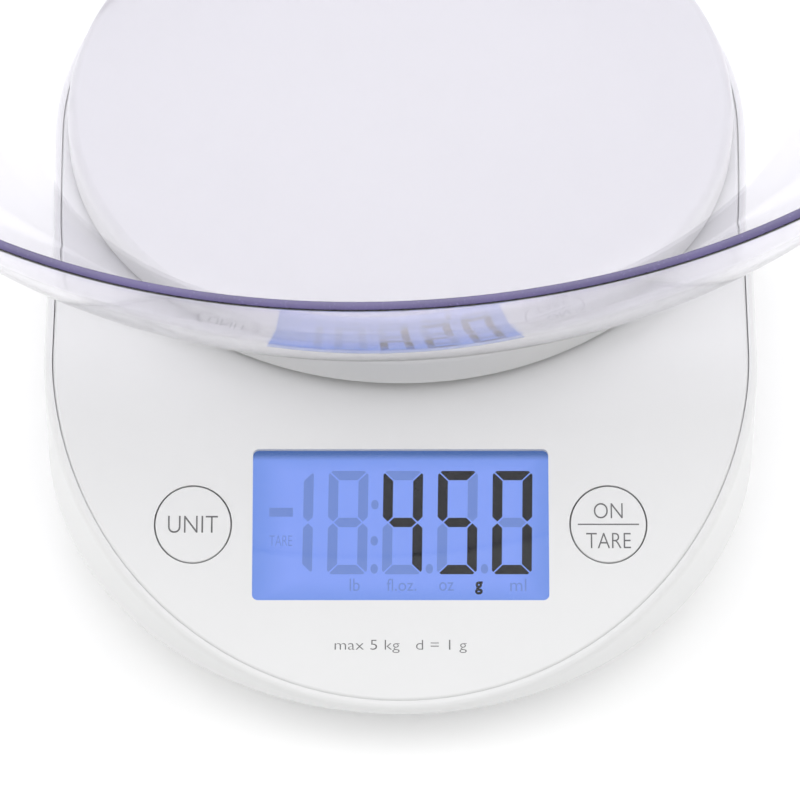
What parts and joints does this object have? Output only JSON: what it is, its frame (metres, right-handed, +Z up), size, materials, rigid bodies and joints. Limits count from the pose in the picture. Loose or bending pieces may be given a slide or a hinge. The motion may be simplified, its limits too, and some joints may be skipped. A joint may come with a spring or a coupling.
{
  "type": "kitchen scale",
  "caption": "Low electronic kitchen scale with a sloping lit display, press keys, a round weighing tray and a lift-off oval mixing bowl.",
  "frame": {"origin": "middle of the whole object's footprint, on the surface that the feet stand on", "axes": "+Z up; -Y towards the display and its reader; +X to the reader's right, along the bowl's longer way"},
  "size_m": [0.302, 0.2697, 0.1146],
  "materials": {
    "case_plastic": "fine satin moulded white",
    "window_clear": "clear polished window",
    "lcd_glass": "blue-lit display glass",
    "diffuser": "frosted white",
    "lamp_resin": "clear resin",
    "frame_plastic": "black moulded",
    "contact_rubber": "soft contact strip",
    "board_laminate": "green solder mask",
    "chip_resin": "black epoxy",
    "part_metal": "tinned parts",
    "header_plastic": "natural nylon",
    "button_plastic": "fine satin moulded white",
    "switch_plastic": "black moulded",
    "screw_steel": "zinc-plated",
    "cell_aluminium": "milled",
    "seal_compound": "white silicone",
    "support_plastic": "moulded white",
    "tray_plastic": "fine satin moulded white",
    "bowl_plastic": "polished, tinted and see-through",
    "battery_skin": "printed sleeve",
    "spring_steel": "nickel-plated",
    "wire_skin": "soft insulation",
    "foot_rubber": "soft grey"
  },
  "bodies": {
    "case": {"lower_case": "case_plastic", "top_cover": "case_plastic", "display_window": "window_clear", "lcd_panel": "lcd_glass", "light_guide": "diffuser", "backlight_leds": "lamp_resin", "lcd_frame": "frame_plastic", "zebra_strips": "contact_rubber", "circuit_board": "board_laminate", "controller_chip": "chip_resin", "board_parts": "part_metal", "wire_connectors": "header_plastic", "unit_switch": "switch_plastic", "tare_switch": "switch_plastic", "board_screws": "screw_steel", "load_cell": "cell_aluminium", "gauge_seals": "seal_compound", "cell_spacer": "cell_aluminium", "cell_screws": "screw_steel", "batteries": "battery_skin", "battery_springs": "spring_steel", "contact_plates": "spring_steel", "battery_wires": "wire_skin", "load_cell_wires": "wire_skin", "rubber_feet": "foot_rubber", "case_screws": "screw_steel"},
    "tray": {"tray": "tray_plastic", "tray_support": "support_plastic", "tray_screws": "screw_steel", "support_screws": "screw_steel"},
    "bowl": {"bowl": "bowl_plastic"},
    "unit_button": {"unit_button": "button_plastic", "unit_plunger": "switch_plastic"},
    "tare_button": {"tare_button": "button_plastic", "tare_plunger": "switch_plastic"},
    "battery_door": {"battery_door": "case_plastic"}
  },
  "joints": [
    {"name": "tray_sink", "type": "slide", "parent": "case", "child": "tray", "axis": [0, 0, -1], "range_m": [0, 0.0005], "stiffness_N_per_m": 60000, "deforming": ["load_cell"]},
    {"name": "bowl_lift", "type": "slide", "parent": "tray", "child": "bowl", "axis": [0, 0, 1], "range_m": [0, 0.15]},
    {"name": "unit_press", "type": "slide", "parent": "case", "child": "unit_button", "axis": [0, 0.342, -0.9397], "range_m": [0, 0.0006], "stiffness_N_per_m": 3300},
    {"name": "tare_press", "type": "slide", "parent": "case", "child": "tare_button", "axis": [0, 0.342, -0.9397], "range_m": [0, 0.0006], "stiffness_N_per_m": 3300},
    {"name": "door_slide", "type": "slide", "parent": "case", "child": "battery_door", "axis": [1, 0, 0], "range_m": [0, 0.05]}
  ]
}
